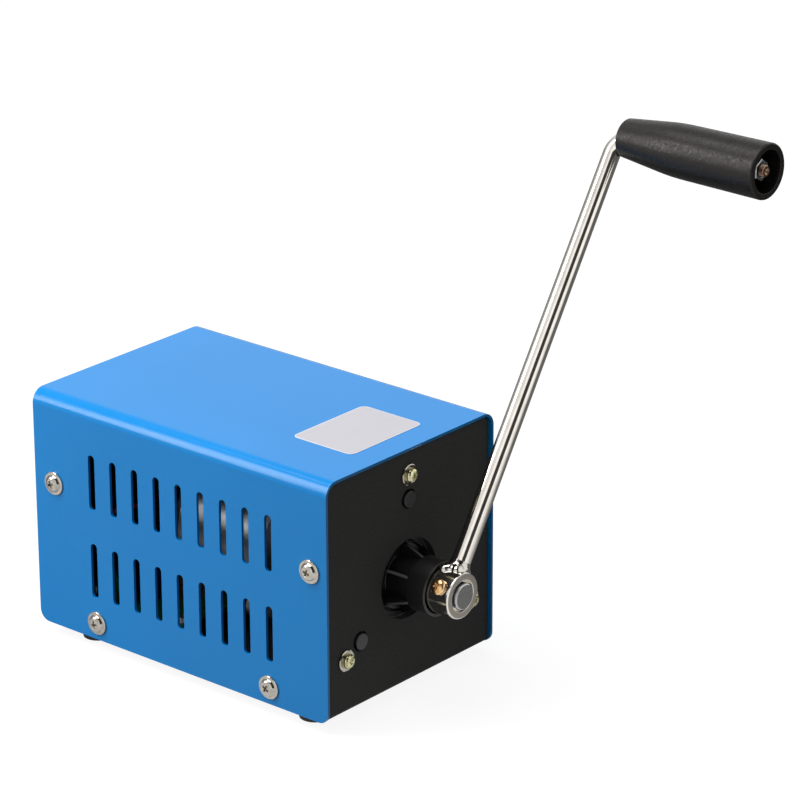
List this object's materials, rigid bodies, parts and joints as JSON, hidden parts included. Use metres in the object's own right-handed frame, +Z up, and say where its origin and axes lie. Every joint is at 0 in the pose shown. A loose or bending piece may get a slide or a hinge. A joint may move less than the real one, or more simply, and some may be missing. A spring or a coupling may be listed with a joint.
{
  "type": "hand crank generator",
  "caption": "Hand crank generator: vented sheet-steel case with a cranked handle, planetary gearbox, dynamo motor and rear output panel.",
  "frame": {"origin": "middle of the case footprint, on the surface that the feet stand on", "axes": "+Z up; the crank axis runs along Y with the crank on the -Y side and the output panel on the +Y side; at rest the crank arm leans towards +X"},
  "size_m": [0.1412, 0.2225, 0.1868],
  "materials": {
    "blue_paint": "smooth semi-gloss powder coat on sheet steel",
    "black_paint": "fine-textured matt powder coat on sheet steel",
    "black_rubber": "matt moulded rubber",
    "chrome": "bright nickel-chrome plate",
    "zinc_steel": "bright zinc plate",
    "yellow_zinc": "yellow passivated zinc plate",
    "black_plastic": "moulded glass-filled nylon",
    "grip_plastic": "moulded plastic with a satin surface",
    "gear_steel": "hobbed and hardened steel, lightly greased",
    "sleeve_grey": "blackened sintered iron",
    "die_cast": "as-cast zinc-aluminium",
    "bronze": "sintered bronze",
    "motor_steel": "zinc-plated deep-drawn steel",
    "ferrite": "ground ferrite",
    "lamination": "stacked silicon steel",
    "copper": "enamelled copper",
    "carbon": "pressed carbon",
    "brass": "plain brass",
    "board_green": "solder-masked glass-epoxy board",
    "can_blue": "printed-sleeve capacitor with no lettering",
    "choke_wire": "enamelled copper on a ferrite ring",
    "black_anodised": "black anodised extrusion",
    "terminal_green": "moulded polyamide",
    "dark_window": "tinted acrylic",
    "red_plastic": "moulded plastic",
    "red_pvc": "soft PVC insulation",
    "black_pvc": "soft PVC insulation"
  },
  "bodies": {
    "case": {"cover": "blue_paint", "chassis": "black_paint", "feet": "black_rubber", "foot_screws": "zinc_steel", "cover_screws": "zinc_steel", "gearbox_front": "black_plastic", "ring_gear": "sleeve_grey", "gearbox_rear": "die_cast", "gearbox_screws": "zinc_steel", "panel_washers": "yellow_zinc", "panel_screws": "yellow_zinc", "motor_can": "motor_steel", "magnets": "ferrite", "bushes": "bronze", "motor_end_cap": "black_plastic", "motor_terminals": "brass", "brushes": "carbon", "regulator_board": "board_green", "board_spacers": "brass", "board_screws": "zinc_steel", "capacitors": "can_blue", "choke": "choke_wire", "heat_sink": "black_anodised", "regulator_chip": "black_plastic", "terminal_block": "terminal_green", "voltmeter": "black_plastic", "meter_window": "dark_window", "usb_surround": "black_plastic", "usb_shells": "zinc_steel", "socket_red": "red_plastic", "socket_black": "black_plastic", "socket_sleeves": "brass", "panel_nuts": "zinc_steel", "potentiometer": "zinc_steel", "leads_red": "red_pvc", "leads_black": "black_pvc"},
    "crank": {"crank_shaft": "zinc_steel", "crank_hub": "chrome", "hub_screws": "yellow_zinc", "crank_arm": "chrome", "grip_washer": "zinc_steel", "grip_nut": "zinc_steel", "first_carrier": "gear_steel", "first_carrier_pins": "gear_steel"},
    "grip": {"grip": "grip_plastic"},
    "second_carrier": {"second_carrier": "gear_steel", "second_carrier_pins": "gear_steel"},
    "rotor": {"rotor_shaft": "gear_steel", "armature_core": "lamination", "armature_windings": "copper", "commutator": "copper"},
    "knob": {"knob": "black_plastic", "knob_spindle": "zinc_steel"},
    "first_planet_1": {"first_planet_1": "gear_steel"},
    "first_planet_2": {"first_planet_2": "gear_steel"},
    "first_planet_3": {"first_planet_3": "gear_steel"},
    "second_planet_1": {"second_planet_1": "gear_steel"},
    "second_planet_2": {"second_planet_2": "gear_steel"},
    "second_planet_3": {"second_planet_3": "gear_steel"}
  },
  "joints": [
    {"name": "crank_spin", "type": "hinge", "parent": "case", "child": "crank", "pos_m": [0, 0, 0.042], "axis": [0, 1, 0], "continuous": true},
    {"name": "grip_spin", "type": "hinge", "parent": "crank", "child": "grip", "pos_m": [0.08722, 0, 0.17733], "axis": [0, 1, 0], "continuous": true},
    {"name": "second_carrier_spin", "type": "hinge", "parent": "case", "child": "second_carrier", "pos_m": [0, 0, 0.042], "axis": [0, 1, 0], "continuous": true},
    {"name": "rotor_spin", "type": "hinge", "parent": "case", "child": "rotor", "pos_m": [0, 0, 0.042], "axis": [0, 1, 0], "continuous": true},
    {"name": "first_planet_1_spin", "type": "hinge", "parent": "crank", "child": "first_planet_1", "pos_m": [0, 0, 0.057], "axis": [0, 1, 0], "continuous": true},
    {"name": "first_planet_2_spin", "type": "hinge", "parent": "crank", "child": "first_planet_2", "pos_m": [-0.01299, 0, 0.0345], "axis": [0, 1, 0], "continuous": true},
    {"name": "first_planet_3_spin", "type": "hinge", "parent": "crank", "child": "first_planet_3", "pos_m": [0.01299, 0, 0.0345], "axis": [0, 1, 0], "continuous": true},
    {"name": "second_planet_1_spin", "type": "hinge", "parent": "second_carrier", "child": "second_planet_1", "pos_m": [0, 0, 0.057], "axis": [0, 1, 0], "continuous": true},
    {"name": "second_planet_2_spin", "type": "hinge", "parent": "second_carrier", "child": "second_planet_2", "pos_m": [-0.01299, 0, 0.0345], "axis": [0, 1, 0], "continuous": true},
    {"name": "second_planet_3_spin", "type": "hinge", "parent": "second_carrier", "child": "second_planet_3", "pos_m": [0.01299, 0, 0.0345], "axis": [0, 1, 0], "continuous": true},
    {"name": "knob_turn", "type": "hinge", "parent": "case", "child": "knob", "pos_m": [0.018, 0.07, 0.04], "axis": [0, -1, 0], "range_deg": [0, 300]}
  ],
  "couplings": [
    {"joint": "second_carrier_spin", "follows": "crank_spin", "ratio": 5},
    {"joint": "rotor_spin", "follows": "crank_spin", "ratio": 25},
    {"joint": "first_planet_1_spin", "follows": "crank_spin", "ratio": -2.6667},
    {"joint": "first_planet_2_spin", "follows": "crank_spin", "ratio": -2.6667},
    {"joint": "first_planet_3_spin", "follows": "crank_spin", "ratio": -2.6667},
    {"joint": "second_planet_1_spin", "follows": "crank_spin", "ratio": -13.333},
    {"joint": "second_planet_2_spin", "follows": "crank_spin", "ratio": -13.333},
    {"joint": "second_planet_3_spin", "follows": "crank_spin", "ratio": -13.333}
  ]
}
